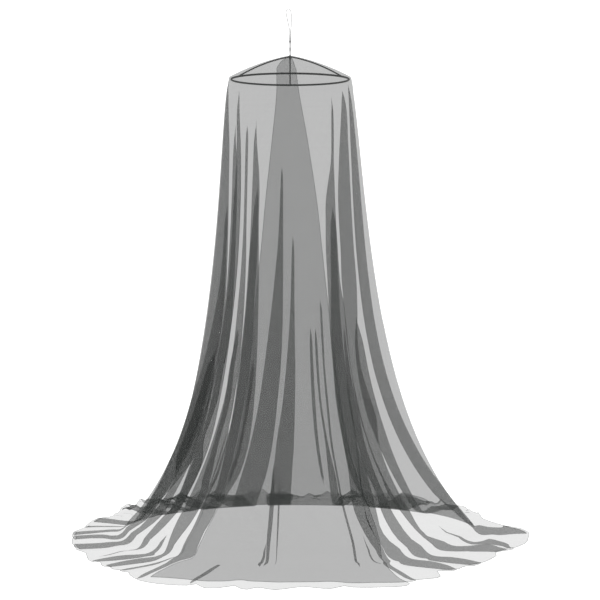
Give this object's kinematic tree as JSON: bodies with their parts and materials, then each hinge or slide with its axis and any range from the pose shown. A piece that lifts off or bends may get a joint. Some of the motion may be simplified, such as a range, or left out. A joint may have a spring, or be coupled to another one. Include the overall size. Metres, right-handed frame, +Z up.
{
  "type": "mosquito net canopy on a hoop frame",
  "caption": "Bell-shaped mosquito net gathered over a small hoop with spokes and a hub, lapped at the front, spread on the floor at its hem, and hung from one cord loop.",
  "frame": {"origin": "hanging point, inside the top of the cord loop; the floor that the hem lies on is 2.70 m below it", "axes": "+Z up, -Y towards the front, where the two free edges of the net overlap, +X to the right as seen from the front"},
  "size_m": [2.3612, 2.466, 2.7],
  "materials": {
    "net_cloth": "fine, sheer, matt net",
    "frame_metal": "satin, near black",
    "fitting": "matt grey",
    "cord": "pale twisted cord"
  },
  "bodies": {
    "root": {"net": "net_cloth", "hoop_ring": "frame_metal", "spoke_right": "frame_metal", "spoke_left": "frame_metal", "spoke_back": "frame_metal", "hub": "frame_metal", "hanging_cord": "cord", "cord_sleeve": "fitting", "cord_bead": "frame_metal", "cord_ferrule": "fitting"}
  },
  "joints": []
}
